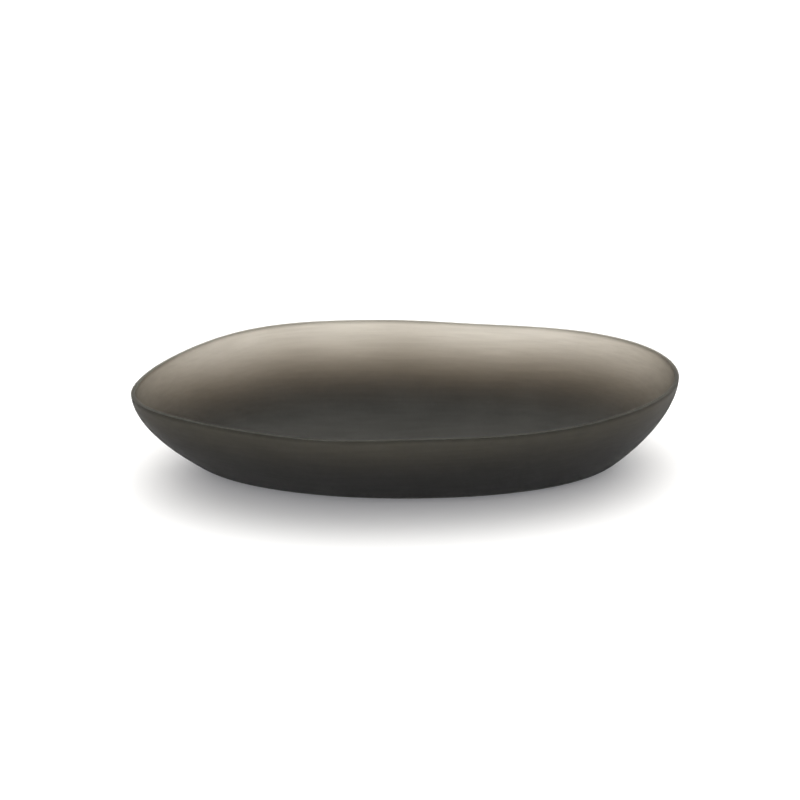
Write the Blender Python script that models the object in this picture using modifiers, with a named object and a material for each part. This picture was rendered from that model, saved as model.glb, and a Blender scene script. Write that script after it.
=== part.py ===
"""A pebble-shaped shallow dish, cast in one piece in smoky frosted resin.

Frame: the origin is in the middle of the flat underside, +Z is up, +X runs along the
dish. Every length is in metres, except where a name says millimetres.
"""

from math import atan2, cos, hypot, pi, sin, tau

import bmesh
import bpy
from mathutils import Vector

# Overall sizes, over the lip. The lip's own rises and dips are added to its height.
LENGTH = 0.150
WIDTH = 0.106
RIM_HEIGHT = 0.0244

# The flat underside is an ellipse, set back a little towards -Y.
BASE_LENGTH = 0.1115
BASE_WIDTH = 0.0605
BASE_SHIFT_Y = -0.0012

# Thickness of the resin, square to its surface: in the middle of the floor, at the foot
# of the wall where it is thickest, and at the lip, which is thinnest at the back (+Y)
# and thickest at the front. WALL_THINNING is how the wall thins on its way up: 1 is
# evenly, larger is sooner.
MIDDLE_THICKNESS = 0.0042
FOOT_THICKNESS = 0.0070
BACK_LIP_THICKNESS = 0.0010
FRONT_LIP_THICKNESS = 0.0012
WALL_THINNING = 2.0

# Rounding between the flat underside and the wall: how far it reaches in under the
# dish, and up the wall as a share of the wall's height.
BASE_EDGE_WIDTH = 0.0065
BASE_EDGE_CLIMB = 0.15

# Rounding of the lip's two edges, as a share of the lip's thinnest part so that both
# roundings always fit on it.
LIP_EDGE_SHARE = 0.4

# How the leaning wall turns upright on its way up: 1 is straight, larger is rounder.
WALL_ROUNDNESS = 1.75

# The lip's hand-shaped outline: control points at equal angles from +X. Each has its
# distance from the middle and its rise above RIM_HEIGHT, both in millimetres. The
# distances are the outline's shape, which is then brought to LENGTH and WIDTH.
RIM_POINTS_MM = (
    (78.0, -0.1), (76.5, 0.2), (65.5, -0.1), (55.0, -0.7),
    (53.5, -0.1), (57.5, 0.0), (65.5, 0.0), (69.5, -0.6),
    (77.0, -1.6), (80.5, 1.5), (67.0, 1.3), (58.5, 0.1),
    (52.5, 0.3), (54.0, -0.1), (61.0, -0.4), (71.0, 0.5),
)
MILLIMETRE = 0.001

# Fineness of the mesh.
STEPS_PER_RIM_POINT = 6
FLOOR_ROWS = 4
BASE_EDGE_ROWS = 5
WALL_ROWS = 12
LIP_EDGE_SEGMENTS = 3

# Finish of the resin.
RESIN_COLOUR = (0.055, 0.053, 0.046, 1.0)
RESIN_ROUGHNESS = 0.75
RESIN_METALLIC = 0.0


def clear_scene():
    for old in list(bpy.data.objects):
        bpy.data.objects.remove(old, do_unlink=True)


def spline_point(before, start, end, after, t):
    """Point at share t of one span of a uniform cubic B-spline."""
    weights = (
        (1 - t) ** 3,
        3 * t ** 3 - 6 * t ** 2 + 4,
        -3 * t ** 3 + 3 * t ** 2 + 3 * t + 1,
        t ** 3,
    )
    total = Vector((0, 0, 0))
    for weight, point in zip(weights, (before, start, end, after)):
        total += point * weight / 6
    return total


def closed_spline(points, steps):
    """Smooth closed curve led by the points, with this many steps to a span."""
    count = len(points)
    curve = []
    for span in range(count):
        four = [points[(span + offset) % count] for offset in (-1, 0, 1, 2)]
        for step in range(steps):
            curve.append(spline_point(*four, step / steps))
    return curve


def rim_outline():
    """Outer edge of the lip, centred on the origin, at its full size and height."""
    controls = []
    for index, (reach, rise) in enumerate(RIM_POINTS_MM):
        angle = tau * index / len(RIM_POINTS_MM)
        controls.append(Vector((reach * cos(angle), reach * sin(angle), rise)) * MILLIMETRE)
    curve = closed_spline(controls, STEPS_PER_RIM_POINT)
    low = Vector(min(point[axis] for point in curve) for axis in range(3))
    high = Vector(max(point[axis] for point in curve) for axis in range(3))
    middle = (low + high) / 2
    scale_x = LENGTH / (high.x - low.x)
    scale_y = WIDTH / (high.y - low.y)
    outline = []
    for point in curve:
        x = (point.x - middle.x) * scale_x
        y = (point.y - middle.y) * scale_y
        outline.append(Vector((x, y, RIM_HEIGHT + point.z)))
    return outline


def base_outline(rim):
    """Edge of the flat underside, with one point in the direction of each rim point."""
    outline = []
    for point in rim:
        angle = atan2(point.y, point.x)
        reach = 1 / hypot(cos(angle) / (BASE_LENGTH / 2), sin(angle) / (BASE_WIDTH / 2))
        outline.append(Vector((reach * cos(angle), reach * sin(angle) + BASE_SHIFT_Y, 0)))
    return outline


def wall_point(foot, lip, climb):
    """Point on the outside of the wall, at this share of the climb from foot to lip."""
    lean = 1 - (1 - climb) ** WALL_ROUNDNESS
    point = foot.lerp(lip, lean)
    point.z = lip.z * climb
    return point


def floor_thickness(share):
    """Thickness of the resin at this share of the way from the middle to the foot."""
    return MIDDLE_THICKNESS + (FOOT_THICKNESS - MIDDLE_THICKNESS) * share ** 2


def wall_thickness(lip, climb):
    """Thickness of the resin at this share of the climb towards a point of the lip."""
    frontness = 0.5 - 0.5 * sin(atan2(lip.y, lip.x))
    thinnest = BACK_LIP_THICKNESS + (FRONT_LIP_THICKNESS - BACK_LIP_THICKNESS) * frontness
    return thinnest + (FOOT_THICKNESS - thinnest) * (1 - climb) ** WALL_THINNING


def ramp(turn):
    """Smooth start of a climb: 0 and level at a turn of -1, 1 and at full slope at 1."""
    return 3 / 16 + turn / 2 + 3 * turn ** 2 / 8 - turn ** 4 / 16


def section(foot, lip):
    """One section of the outer skin, from near the middle of the underside to the lip.

    It is a list of points, each with the thickness of the resin there.
    """
    middle = Vector((0, BASE_SHIFT_Y, 0))
    edge_share = BASE_EDGE_WIDTH / (foot - middle).length
    rows = []
    for row in range(1, FLOOR_ROWS):
        share = (1 - edge_share) * row / FLOOR_ROWS
        rows.append((middle.lerp(foot, share), floor_thickness(share)))
    for row in range(BASE_EDGE_ROWS):
        turn = 2 * row / BASE_EDGE_ROWS - 1
        share = 1 + (turn - ramp(turn)) * edge_share
        climb = BASE_EDGE_CLIMB * ramp(turn)
        point = middle.lerp(foot, share) + wall_point(foot, lip, climb) - foot
        thickness = floor_thickness(share) + wall_thickness(lip, climb) - FOOT_THICKNESS
        rows.append((point, thickness))
    for row in range(WALL_ROWS + 1):
        climb = BASE_EDGE_CLIMB + (1 - BASE_EDGE_CLIMB) * sin(pi / 2 * row / WALL_ROWS)
        rows.append((wall_point(foot, lip, climb), wall_thickness(lip, climb)))
    return rows


def outer_skin():
    """Outside of the dish as an open surface: the flat underside and the wall round it.

    Each vertex also holds its share of the greatest thickness, for the Solidify modifier.
    """
    bm = bmesh.new()
    thickness_share = bm.verts.layers.deform.verify()
    rim = rim_outline()
    columns = []
    for foot, lip in zip(base_outline(rim), rim):
        column = []
        for point, thickness in section(foot, lip):
            vert = bm.verts.new(point)
            vert[thickness_share][0] = thickness / FOOT_THICKNESS
            column.append(vert)
        columns.append(column)
    bm.faces.new([column[0] for column in reversed(columns)])
    for here, there in zip(columns, columns[1:] + columns[:1]):
        for row in range(len(here) - 1):
            bm.faces.new((here[row], there[row], there[row + 1], here[row + 1]))
    mesh = bpy.data.meshes.new("dish")
    bm.to_mesh(mesh)
    bm.free()
    mesh.shade_smooth()
    return mesh


def add_thickness(dish):
    """Thicken the skin inwards and round the lip."""
    dish.vertex_groups.new(name="thickness share")
    resin = dish.modifiers.new("resin", "SOLIDIFY")
    resin.thickness = FOOT_THICKNESS
    resin.offset = -1
    resin.vertex_group = "thickness share"
    lip = dish.modifiers.new("lip", "BEVEL")
    lip.limit_method = "ANGLE"
    lip.angle_limit = pi / 3
    lip.width = min(BACK_LIP_THICKNESS, FRONT_LIP_THICKNESS) * LIP_EDGE_SHARE
    lip.segments = LIP_EDGE_SEGMENTS


def resin_material():
    material = bpy.data.materials.new("smoky_frosted_resin")
    material.use_nodes = True
    shader = material.node_tree.nodes["Principled BSDF"]
    shader.inputs["Base Color"].default_value = RESIN_COLOUR
    shader.inputs["Roughness"].default_value = RESIN_ROUGHNESS
    shader.inputs["Metallic"].default_value = RESIN_METALLIC
    return material


def main():
    clear_scene()
    parts = bpy.data.collections.new("pebble_dish")
    bpy.context.scene.collection.children.link(parts)
    dish = bpy.data.objects.new("dish", outer_skin())
    parts.objects.link(dish)
    add_thickness(dish)
    dish.data.materials.append(resin_material())


main()
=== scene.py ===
"""Looks of the pebble dish: its fine shell, its smoky frosted resin and a pale studio.

Every length is in metres, in the frame's own axes: +X along the dish, +Z up.
"""

from math import atan2, cos, hypot, pi, radians, sin, tau

import bmesh
import bpy
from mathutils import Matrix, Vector, noise


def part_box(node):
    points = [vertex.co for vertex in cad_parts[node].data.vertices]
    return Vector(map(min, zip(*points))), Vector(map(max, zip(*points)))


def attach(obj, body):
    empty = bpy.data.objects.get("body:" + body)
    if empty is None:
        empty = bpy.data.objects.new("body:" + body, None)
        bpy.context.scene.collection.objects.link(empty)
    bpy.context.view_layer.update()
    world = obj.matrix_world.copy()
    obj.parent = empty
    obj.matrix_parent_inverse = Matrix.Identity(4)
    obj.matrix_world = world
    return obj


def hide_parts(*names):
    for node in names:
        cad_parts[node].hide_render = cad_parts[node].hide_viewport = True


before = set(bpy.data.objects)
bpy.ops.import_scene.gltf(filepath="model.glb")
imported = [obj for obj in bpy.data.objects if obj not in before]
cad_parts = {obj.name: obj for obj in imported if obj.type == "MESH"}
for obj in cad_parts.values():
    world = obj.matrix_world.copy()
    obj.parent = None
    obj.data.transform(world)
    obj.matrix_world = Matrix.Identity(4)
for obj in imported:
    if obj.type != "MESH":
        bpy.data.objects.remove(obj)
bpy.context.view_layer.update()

MILLIMETRE = 0.001

# ---------------------------------------------------------------------------------------
# Shape of the dish. Its overall length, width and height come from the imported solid.
# ---------------------------------------------------------------------------------------

# The flat underside is an ellipse, rounded off towards the wall.
BASE_LENGTH = 0.1115
BASE_WIDTH = 0.0605
BASE_SHIFT_Y = -0.0012
BASE_EDGE_WIDTH = 0.0065
BASE_EDGE_CLIMB = 0.15

# How the leaning wall turns upright on its way up: 1 is straight, larger is rounder.
WALL_ROUNDNESS = 1.75

# Thickness of the resin: in the middle of the floor, at the foot of the wall, and at the
# lip, which is thinnest at the back (+Y) and thickest at the front.
MIDDLE_THICKNESS = 0.0042
FOOT_THICKNESS = 0.0070
BACK_LIP_THICKNESS = 0.0010
FRONT_LIP_THICKNESS = 0.0012
WALL_THINNING = 2.0
LIP_EDGE_WIDTH = 0.00048

# The lip's hand-shaped outline: at equal angles from +X, the distance from the middle
# and the rise, in millimetres.
RIM_POINTS_MM = (
    (78.0, -0.1), (76.5, 0.2), (65.5, -0.1), (55.0, -0.7),
    (53.5, -0.1), (57.5, 0.0), (65.5, 0.0), (69.5, -0.6),
    (77.0, -1.6), (80.5, 1.5), (67.0, 1.3), (58.5, 0.1),
    (52.5, 0.3), (54.0, -0.1), (61.0, -0.4), (71.0, 0.5),
)

# Fineness of the mesh.
STEPS_PER_RIM_POINT = 12
WALL_ROWS = 30
FLOOR_ROWS = 10
BASE_EDGE_ROWS = 16
LIP_EDGE_SEGMENTS = 6

# Hand sanding leaves each face a little wavy, apart from the flat underside: the waves
# start just above it and reach their full height over the next few millimetres.
WAVE_LENGTH = 0.022
WAVE_HEIGHT = 0.00012
WAVE_START_Z = 0.001
WAVE_RISE_Z = 0.004


def spline_point(before, start, end, after, t):
    """Point at share t of one span of a uniform cubic B-spline."""
    weights = (
        (1 - t) ** 3,
        3 * t ** 3 - 6 * t ** 2 + 4,
        -3 * t ** 3 + 3 * t ** 2 + 3 * t + 1,
        t ** 3,
    )
    total = Vector((0, 0, 0))
    for weight, point in zip(weights, (before, start, end, after)):
        total += point * weight / 6
    return total


def closed_spline(points, steps):
    """Smooth closed curve led by the points, with this many steps to a span."""
    count = len(points)
    curve = []
    for span in range(count):
        four = [points[(span + offset) % count] for offset in (-1, 0, 1, 2)]
        for step in range(steps):
            curve.append(spline_point(*four, step / steps))
    return curve


def rim_outline(low, high):
    """Outer edge of the lip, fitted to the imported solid's box."""
    controls = []
    for index, (reach, rise) in enumerate(RIM_POINTS_MM):
        angle = tau * index / len(RIM_POINTS_MM)
        controls.append(Vector((reach * cos(angle), reach * sin(angle), rise)) * MILLIMETRE)
    curve = closed_spline(controls, STEPS_PER_RIM_POINT)
    shape_low = Vector(min(point[axis] for point in curve) for axis in range(3))
    shape_high = Vector(max(point[axis] for point in curve) for axis in range(3))
    outline = []
    for point in curve:
        share = [(point[i] - shape_low[i]) / (shape_high[i] - shape_low[i]) for i in (0, 1)]
        x = low.x + (high.x - low.x) * share[0]
        y = low.y + (high.y - low.y) * share[1]
        outline.append(Vector((x, y, high.z - shape_high.z + point.z)))
    return outline


def base_outline(rim):
    """Edge of the flat underside, with one point in the direction of each rim point."""
    outline = []
    for point in rim:
        angle = atan2(point.y, point.x)
        reach = 1 / hypot(cos(angle) / (BASE_LENGTH / 2), sin(angle) / (BASE_WIDTH / 2))
        outline.append(Vector((reach * cos(angle), reach * sin(angle) + BASE_SHIFT_Y, 0)))
    return outline


def wall_point(foot, lip, climb):
    """Point on the outside of the wall, at this share of the climb from foot to lip."""
    lean = 1 - (1 - climb) ** WALL_ROUNDNESS
    point = foot.lerp(lip, lean)
    point.z = lip.z * climb
    return point


def floor_thickness(share):
    """Thickness of the resin at this share of the way from the middle to the foot."""
    return MIDDLE_THICKNESS + (FOOT_THICKNESS - MIDDLE_THICKNESS) * share ** 2


def wall_thickness(lip, climb):
    """Thickness of the resin at this share of the climb towards a point of the lip."""
    frontness = 0.5 - 0.5 * sin(atan2(lip.y, lip.x))
    thinnest = BACK_LIP_THICKNESS + (FRONT_LIP_THICKNESS - BACK_LIP_THICKNESS) * frontness
    return thinnest + (FOOT_THICKNESS - thinnest) * (1 - climb) ** WALL_THINNING


def ramp(turn):
    """Smooth start of a climb: 0 and level at a turn of -1, 1 and at full slope at 1."""
    return 3 / 16 + turn / 2 + 3 * turn ** 2 / 8 - turn ** 4 / 16


def section(foot, lip):
    """One section of the outer skin, from near the middle of the underside to the lip.

    It is a list of points, each with the thickness of the resin there.
    """
    middle = Vector((0, BASE_SHIFT_Y, 0))
    edge_share = BASE_EDGE_WIDTH / (foot - middle).length
    rows = []
    for row in range(1, FLOOR_ROWS):
        share = (1 - edge_share) * row / FLOOR_ROWS
        rows.append((middle.lerp(foot, share), floor_thickness(share)))
    for row in range(BASE_EDGE_ROWS):
        turn = 2 * row / BASE_EDGE_ROWS - 1
        share = 1 + (turn - ramp(turn)) * edge_share
        climb = BASE_EDGE_CLIMB * ramp(turn)
        point = middle.lerp(foot, share) + wall_point(foot, lip, climb) - foot
        thickness = floor_thickness(share) + wall_thickness(lip, climb) - FOOT_THICKNESS
        rows.append((point, thickness))
    for row in range(WALL_ROWS + 1):
        climb = BASE_EDGE_CLIMB + (1 - BASE_EDGE_CLIMB) * sin(pi / 2 * row / WALL_ROWS)
        rows.append((wall_point(foot, lip, climb), wall_thickness(lip, climb)))
    return rows


def outer_skin(low, high):
    """Outside of the dish as an open surface: the flat underside and the wall round it.

    Each vertex holds its share of the greatest thickness and its share of the climb.
    """
    bm = bmesh.new()
    thickness_share = bm.verts.layers.deform.verify()
    climb_share = bm.verts.layers.float.new("climb")
    rim = rim_outline(low, high)
    columns = []
    for foot, lip in zip(base_outline(rim), rim):
        column = []
        for point, thickness in section(foot, lip):
            vert = bm.verts.new(point)
            vert[thickness_share][0] = thickness / FOOT_THICKNESS
            vert[climb_share] = point.z / lip.z
            column.append(vert)
        columns.append(column)
    bm.faces.new([column[0] for column in reversed(columns)])
    for here, there in zip(columns, columns[1:] + columns[:1]):
        for row in range(len(here) - 1):
            bm.faces.new((here[row], there[row], there[row + 1], here[row + 1]))
    mesh = bpy.data.meshes.new("dish_shell")
    bm.to_mesh(mesh)
    bm.free()
    return mesh


def thickened(dish):
    """The dish's mesh with its thickness and its rounded lip."""
    dish.vertex_groups.new(name="thickness share")
    resin = dish.modifiers.new("resin", "SOLIDIFY")
    resin.thickness = FOOT_THICKNESS
    resin.offset = -1
    resin.vertex_group = "thickness share"
    lip = dish.modifiers.new("lip", "BEVEL")
    lip.limit_method = "ANGLE"
    lip.angle_limit = pi / 3
    lip.width = LIP_EDGE_WIDTH
    lip.segments = LIP_EDGE_SEGMENTS
    graph = bpy.context.evaluated_depsgraph_get()
    mesh = bpy.data.meshes.new_from_object(dish.evaluated_get(graph))
    dish.modifiers.clear()
    return mesh


def make_dish():
    """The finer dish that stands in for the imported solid, without its material."""
    low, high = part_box("dish")
    dish = bpy.data.objects.new("dish_shell", outer_skin(low, high))
    bpy.context.scene.collection.objects.link(dish)
    dish.data = thickened(dish)
    normals = [vert.normal.copy() for vert in dish.data.vertices]
    for vert, normal in zip(dish.data.vertices, normals):
        wave = noise.noise(vert.co / WAVE_LENGTH)
        fade = min(1, max(0, vert.co.z - WAVE_START_Z) / WAVE_RISE_Z)
        vert.co += normal * wave * WAVE_HEIGHT * fade
    dish.data.shade_smooth()
    return dish


# ---------------------------------------------------------------------------------------
# Effects for the resin's material, as node groups
# ---------------------------------------------------------------------------------------

# Size of the features: the blasted grain, the fine mottling, the worn areas and the
# clouds in the tint.
GRAIN_SIZE = 0.00035
MOTTLE_SIZE = 0.0016
WORN_SIZE = 0.012
CLOUD_SIZE = 0.028

# How much of each blend is the first of its two noises, and where most of a noise lies.
WORN_SHARE = 0.6
GRAIN_SHARE = 0.8
CLOUD_SHARE = 0.75
NOISE_LOW = 0.3
NOISE_HIGH = 0.7


def new_group(name, inputs, outputs):
    """Empty shader node group, given as (name, socket type, value) and (name, type)."""
    group = bpy.data.node_groups.new(name, "ShaderNodeTree")
    for label, kind, value in inputs:
        socket = group.interface.new_socket(label, in_out="INPUT", socket_type=kind)
        socket.default_value = value
    for label, kind in outputs:
        group.interface.new_socket(label, in_out="OUTPUT", socket_type=kind)
    return group, group.nodes.new("NodeGroupInput"), group.nodes.new("NodeGroupOutput")


def add_noise(tree, place, size, detail=2.0):
    """Noise texture whose features have this size in metres."""
    texture = tree.nodes.new("ShaderNodeTexNoise")
    texture.inputs["Scale"].default_value = 1 / size
    texture.inputs["Detail"].default_value = detail
    tree.links.new(place, texture.inputs["Vector"])
    return texture.outputs["Fac"]


def add_map(tree, value, from_low, from_high, to_low, to_high):
    """Straight remapping of a value, held inside the new range."""
    node = tree.nodes.new("ShaderNodeMapRange")
    ends = {"From Min": from_low, "From Max": from_high, "To Min": to_low, "To Max": to_high}
    tree.links.new(value, node.inputs["Value"])
    for label, end in ends.items():
        if isinstance(end, bpy.types.NodeSocket):
            tree.links.new(end, node.inputs[label])
        else:
            node.inputs[label].default_value = end
    return node.outputs["Result"]


def add_math(tree, operation, first, second):
    """Result of one operation on two values, each a socket or a number."""
    node = tree.nodes.new("ShaderNodeMath")
    node.operation = operation
    for socket, value in zip(node.inputs, (first, second)):
        if isinstance(value, bpy.types.NodeSocket):
            tree.links.new(value, socket)
        else:
            socket.default_value = value
    return node.outputs["Value"]


def add_blend(tree, share, first, second):
    """This share of the first value, and the second for the rest."""
    first_part = add_math(tree, "MULTIPLY", first, share)
    second_part = add_math(tree, "MULTIPLY", second, 1 - share)
    return add_math(tree, "ADD", first_part, second_part)


def add_colour_mix(tree, share, first, second):
    """Colour that goes from the first to the second as the share goes from 0 to 1."""
    node = tree.nodes.new("ShaderNodeMix")
    node.data_type = "RGBA"
    tree.links.new(share, node.inputs["Factor"])
    tree.links.new(first, node.inputs["A"])
    tree.links.new(second, node.inputs["B"])
    return node.outputs["Result"]


def add_shade(tree, share, colour, shade):
    """The colour, multiplied by this share of the shade."""
    node = tree.nodes.new("ShaderNodeMix")
    node.data_type = "RGBA"
    node.blend_type = "MULTIPLY"
    tree.links.new(share, node.inputs["Factor"])
    tree.links.new(colour, node.inputs["A"])
    node.inputs["B"].default_value = shade
    return node.outputs["Result"]


def add_scaled(tree, place, scale):
    """The place with each axis multiplied, which stretches what is drawn at it."""
    node = tree.nodes.new("ShaderNodeVectorMath")
    node.operation = "MULTIPLY"
    tree.links.new(place, node.inputs[0])
    node.inputs[1].default_value = scale
    return node.outputs["Vector"]


def satin_grain():
    """Fine matt grain with softer worn areas, as blasting or rolling leaves it."""
    tree, given, result = new_group(
        "satin grain",
        [
            ("Place", "NodeSocketVector", (0, 0, 0)),
            ("Smoothest", "NodeSocketFloat", 0.4),
            ("Roughest", "NodeSocketFloat", 0.6),
        ],
        [("Roughness", "NodeSocketFloat"), ("Height", "NodeSocketFloat")],
    )
    place = given.outputs["Place"]
    grain = add_noise(tree, place, GRAIN_SIZE, 3)
    worn = add_noise(tree, place, WORN_SIZE)
    mottle = add_noise(tree, place, MOTTLE_SIZE, 4)
    blend = add_blend(tree, WORN_SHARE, worn, mottle)
    rough = add_map(
        tree, blend, NOISE_LOW, NOISE_HIGH, given.outputs["Smoothest"], given.outputs["Roughest"]
    )
    height = add_blend(tree, GRAIN_SHARE, grain, mottle)
    tree.links.new(rough, result.inputs["Roughness"])
    tree.links.new(height, result.inputs["Height"])
    return tree


def soft_clouds():
    """Slow drift between two colours, broken up by finer mottling."""
    tree, given, result = new_group(
        "soft clouds",
        [
            ("Place", "NodeSocketVector", (0, 0, 0)),
            ("Thin Colour", "NodeSocketColor", (1, 1, 1, 1)),
            ("Thick Colour", "NodeSocketColor", (0.8, 0.8, 0.8, 1)),
        ],
        [("Color", "NodeSocketColor")],
    )
    place = given.outputs["Place"]
    drift = add_noise(tree, place, CLOUD_SIZE)
    mottle = add_noise(tree, place, MOTTLE_SIZE, 4)
    share = add_map(tree, add_blend(tree, CLOUD_SHARE, drift, mottle), NOISE_LOW, NOISE_HIGH, 0, 1)
    colour = add_colour_mix(
        tree, share, given.outputs["Thin Colour"], given.outputs["Thick Colour"]
    )
    tree.links.new(colour, result.inputs["Color"])
    return tree


def add_group(material, group, **inputs):
    """A group in the material, with a value or a socket for each of its named inputs."""
    node = material.node_tree.nodes.new("ShaderNodeGroup")
    node.node_tree = group
    for label, value in inputs.items():
        socket = node.inputs[label.replace("_", " ")]
        if isinstance(value, bpy.types.NodeSocket):
            material.node_tree.links.new(value, socket)
        else:
            socket.default_value = value
    return node


# ---------------------------------------------------------------------------------------
# Smoky frosted resin
# ---------------------------------------------------------------------------------------

# What one pass through the surface lets through, where the tint is thin and thick, at
# the clear back of the dish and at its front, whose darker tint is painted shade, and
# where the one becomes the other.
BACK_THIN = (0.99, 0.98, 0.955, 1)
BACK_THICK = (0.92, 0.905, 0.865, 1)
SHADED_FRONT_THIN = (0.28, 0.275, 0.233, 1)
SHADED_FRONT_THICK = (0.23, 0.226, 0.187, 1)
FRONT_SHADE_START_Y = 0.010
FRONT_SHADE_END_Y = -0.040

# Finish of the resin: fine matt all over, rougher on the ground underside, and roughest
# along the lip, where the tint is also darkened by a painted shade.
MATT = (0.70, 0.82)
LIP_ROUGHNESS = 0.95
LIP_PAINTED_SHADE = (0.55, 0.55, 0.54, 1)
UNDERSIDE_ROUGHNESS = 0.9

# Where the lip begins and is full, as shares of the climb from the foot of the wall, and
# where the underside is full and ends, as heights.
LIP_BLEND = (0.955, 0.995)
UNDERSIDE_BLEND = (0.0001, 0.0006)

# Depth of the blasted grain, of the sanding marks that run along the wall, and of the
# scratches on the underside. The sanding marks show in the tint too.
GRAIN_DEPTH = 0.000012
SANDING_DEPTH = 0.00003
SCRATCH_DEPTH = 0.00002
SANDING_STRETCH = (0.05, 0.2, 1)
SANDING_SIZE = 0.0008
SCRATCH_STRETCH = (1, 0.04, 1)
SCRATCH_SIZE = 0.0006
STREAK_SHADE = (0.88, 0.88, 0.877, 1)
STREAK_BLEND = (0.35, 0.65)

# Inside of the resin: how it bends light, how much it shines, and its smoke, whose colour
# is what the deeper resin lets through and whose density is how soon it does so. The
# bending and the shine are set below a real resin's, which keeps the outer wall dark.
REFRACTION = 1.37
SHEEN_LEVEL = 0.05
SMOKE_COLOUR = (0.62, 0.59, 0.55, 1)
SMOKE_DENSITY = 1850


def resin_material(grain_group, clouds_group):
    """Matt translucent resin, filled with even smoke."""
    material = bpy.data.materials.new("smoky_frosted_resin")
    material.use_nodes = True
    tree = material.node_tree
    nodes = tree.nodes
    links = tree.links
    shader = nodes["Principled BSDF"]
    shader.inputs["IOR"].default_value = REFRACTION
    shader.inputs["Specular IOR Level"].default_value = SHEEN_LEVEL
    shader.inputs["Transmission Weight"].default_value = 1

    place = nodes.new("ShaderNodeTexCoord").outputs["Object"]
    axes = nodes.new("ShaderNodeSeparateXYZ")
    links.new(place, axes.inputs["Vector"])
    height = axes.outputs["Z"]
    climb = nodes.new("ShaderNodeAttribute")
    climb.attribute_name = "climb"
    lipness = add_map(tree, climb.outputs["Fac"], *LIP_BLEND, 0, 1)

    back = add_group(
        material, clouds_group, Place=place, Thin_Colour=BACK_THIN, Thick_Colour=BACK_THICK
    )
    # The front gets a darker tint, painted shade on the side facing the camera, blended in towards
    # -Y.
    front = add_group(
        material, clouds_group, Place=place, Thin_Colour=SHADED_FRONT_THIN, Thick_Colour=SHADED_FRONT_THICK
    )
    frontness = add_map(tree, axes.outputs["Y"], FRONT_SHADE_START_Y, FRONT_SHADE_END_Y, 0, 1)
    tint = add_colour_mix(tree, frontness, back.outputs["Color"], front.outputs["Color"])
    sanding = add_noise(tree, add_scaled(tree, place, SANDING_STRETCH), SANDING_SIZE, 3)
    streaks = add_map(tree, sanding, *STREAK_BLEND, 0, 1)
    tint = add_shade(tree, streaks, tint, STREAK_SHADE)
    # Painted shade: the tint is darkened along the lip.
    tint = add_shade(tree, lipness, tint, LIP_PAINTED_SHADE)
    links.new(tint, shader.inputs["Base Color"])

    grain = add_group(
        material, grain_group, Place=place, Smoothest=MATT[0], Roughest=MATT[1]
    )
    lip = add_math(tree, "MULTIPLY", lipness, LIP_ROUGHNESS - MATT[1])
    underside = add_map(tree, height, *UNDERSIDE_BLEND, UNDERSIDE_ROUGHNESS - MATT[1], 0)
    rough = add_math(tree, "ADD", grain.outputs["Roughness"], lip)
    links.new(add_math(tree, "ADD", rough, underside), shader.inputs["Roughness"])

    scratches = add_noise(tree, add_scaled(tree, place, SCRATCH_STRETCH), SCRATCH_SIZE, 3)
    ground = add_map(tree, height, *UNDERSIDE_BLEND, SCRATCH_DEPTH, 0)
    relief = add_math(tree, "MULTIPLY", grain.outputs["Height"], GRAIN_DEPTH)
    relief = add_math(tree, "ADD", relief, add_math(tree, "MULTIPLY", sanding, SANDING_DEPTH))
    relief = add_math(tree, "ADD", relief, add_math(tree, "MULTIPLY", scratches, ground))
    bump = nodes.new("ShaderNodeBump")
    bump.inputs["Distance"].default_value = 1
    links.new(relief, bump.inputs["Height"])
    links.new(bump.outputs["Normal"], shader.inputs["Normal"])

    smoke = nodes.new("ShaderNodeVolumeAbsorption")
    smoke.inputs["Color"].default_value = SMOKE_COLOUR
    smoke.inputs["Density"].default_value = SMOKE_DENSITY
    links.new(smoke.outputs["Volume"], nodes["Material Output"].inputs["Volume"])
    return material


# ---------------------------------------------------------------------------------------
# Studio
# ---------------------------------------------------------------------------------------

# The camera looks down a little, along +Y, at a point inside the dish.
CAMERA_RISE = radians(20)
CAMERA_DISTANCE = 0.914
CAMERA_LENS = 148.3
AIM = Vector((-0.0019, 0.0058, 0.0159))

# The plain pale floor, a hair below the dish.
FLOOR_COLOUR = (0.855, 0.862, 0.915, 1)
FLOOR_ROUGHNESS = 0.8
FLOOR_HALF_WIDTH = 3
FLOOR_Z = -0.0001

# The studio's walls give one soft light: weak from the front, strong from the back, less
# at both sides, and never under its strength at the horizon, so that it stays white. A
# direction's own X, Y and Z, each from -1 to 1, say where in the studio it points.
WALL_COLOUR = (1, 0.985, 0.91, 1)
FRONT_STRENGTH = 1.25
BACK_STRENGTH = 3.4
FRONT_Y = -0.6
BACK_Y = 1.0
SIDE_START_X = 0.2
SIDE_END_X = 0.9
SIDE_SHARE = 0.35
HORIZON_STRENGTH = 1.25
HORIZON_LOW_Z = 0.2
HORIZON_HIGH_Z = 0.35

# One low softbox in front, aimed at the dish.
FRONT_BOX_POWER = 23
FRONT_BOX_PLACE = (0, -1.5, 0.22)
FRONT_BOX_WIDTH = 1.0
FRONT_BOX_HEIGHT = 0.25


def make_floor():
    bm = bmesh.new()
    bmesh.ops.create_grid(bm, x_segments=1, y_segments=1, size=FLOOR_HALF_WIDTH)
    mesh = bpy.data.meshes.new("floor")
    bm.to_mesh(mesh)
    bm.free()
    floor = bpy.data.objects.new("floor", mesh)
    floor.location.z = FLOOR_Z
    bpy.context.scene.collection.objects.link(floor)
    material = bpy.data.materials.new("pale_floor")
    material.use_nodes = True
    shader = material.node_tree.nodes["Principled BSDF"]
    shader.inputs["Base Color"].default_value = FLOOR_COLOUR
    shader.inputs["Roughness"].default_value = FLOOR_ROUGHNESS
    shader.inputs["Specular IOR Level"].default_value = 0
    mesh.materials.append(material)


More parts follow.
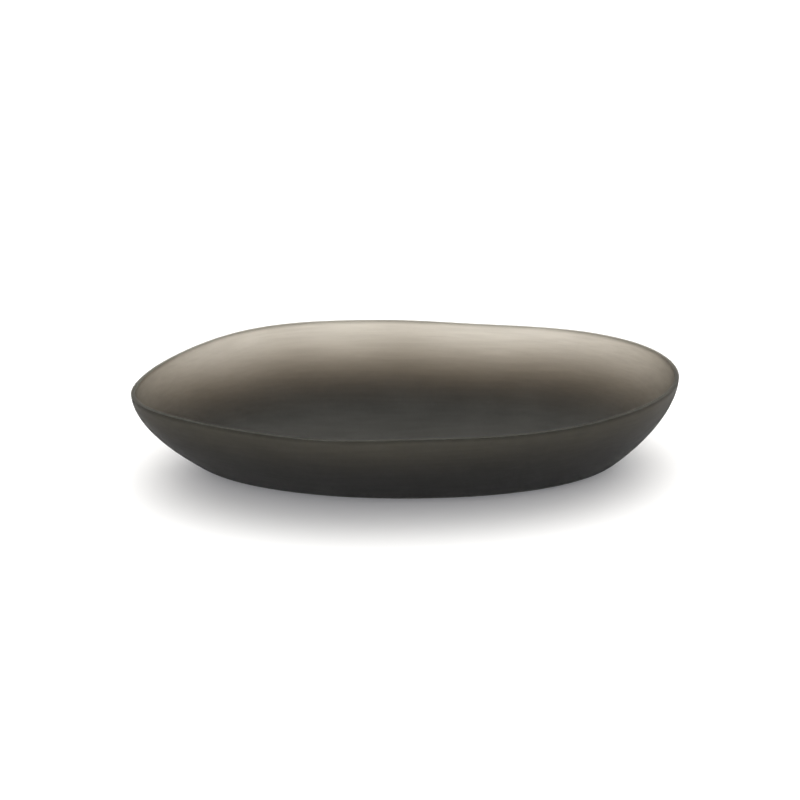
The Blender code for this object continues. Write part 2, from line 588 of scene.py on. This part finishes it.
def make_softbox():
    light = bpy.data.lights.new("front softbox", "AREA")
    light.shape = "RECTANGLE"
    light.size = FRONT_BOX_WIDTH
    light.size_y = FRONT_BOX_HEIGHT
    light.energy = FRONT_BOX_POWER
    box = bpy.data.objects.new("front softbox", light)
    box.location = FRONT_BOX_PLACE
    box.rotation_euler = (-Vector(FRONT_BOX_PLACE)).to_track_quat("-Z", "Y").to_euler()
    bpy.context.scene.collection.objects.link(box)


def make_walls():
    """The light of the studio's walls, which depends only on the direction."""
    world = bpy.data.worlds.new("studio")
    bpy.context.scene.world = world
    world.use_nodes = True
    tree = world.node_tree
    direction = tree.nodes.new("ShaderNodeTexCoord")
    axes = tree.nodes.new("ShaderNodeSeparateXYZ")
    tree.links.new(direction.outputs["Generated"], axes.inputs["Vector"])
    front_to_back = add_map(
        tree, axes.outputs["Y"], FRONT_Y, BACK_Y, FRONT_STRENGTH, BACK_STRENGTH
    )
    front_to_back.node.interpolation_type = "SMOOTHSTEP"
    sideness = add_math(tree, "ABSOLUTE", axes.outputs["X"], 0)
    sides = add_map(tree, sideness, SIDE_START_X, SIDE_END_X, 1, SIDE_SHARE)
    walls = add_math(tree, "MULTIPLY", front_to_back, sides)
    horizon = add_map(
        tree, axes.outputs["Z"], HORIZON_LOW_Z, HORIZON_HIGH_Z, HORIZON_STRENGTH, 0
    )
    background = tree.nodes["Background"]
    background.inputs["Color"].default_value = WALL_COLOUR
    tree.links.new(add_math(tree, "MAXIMUM", walls, horizon), background.inputs["Strength"])


def make_camera():
    camera = bpy.data.objects.new("camera", bpy.data.cameras.new("camera"))
    bpy.context.scene.collection.objects.link(camera)
    camera.location = Vector((0, -cos(CAMERA_RISE), sin(CAMERA_RISE))) * CAMERA_DISTANCE
    camera.rotation_euler = (AIM - camera.location).to_track_quat("-Z", "Y").to_euler()
    camera.data.lens = CAMERA_LENS
    bpy.context.scene.camera = camera


dish = make_dish()
dish.data.materials.append(resin_material(satin_grain(), soft_clouds()))
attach(dish, "root")
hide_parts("dish")
make_floor()
make_softbox()
make_walls()
make_camera()
bpy.context.scene.view_settings.view_transform = "Standard"
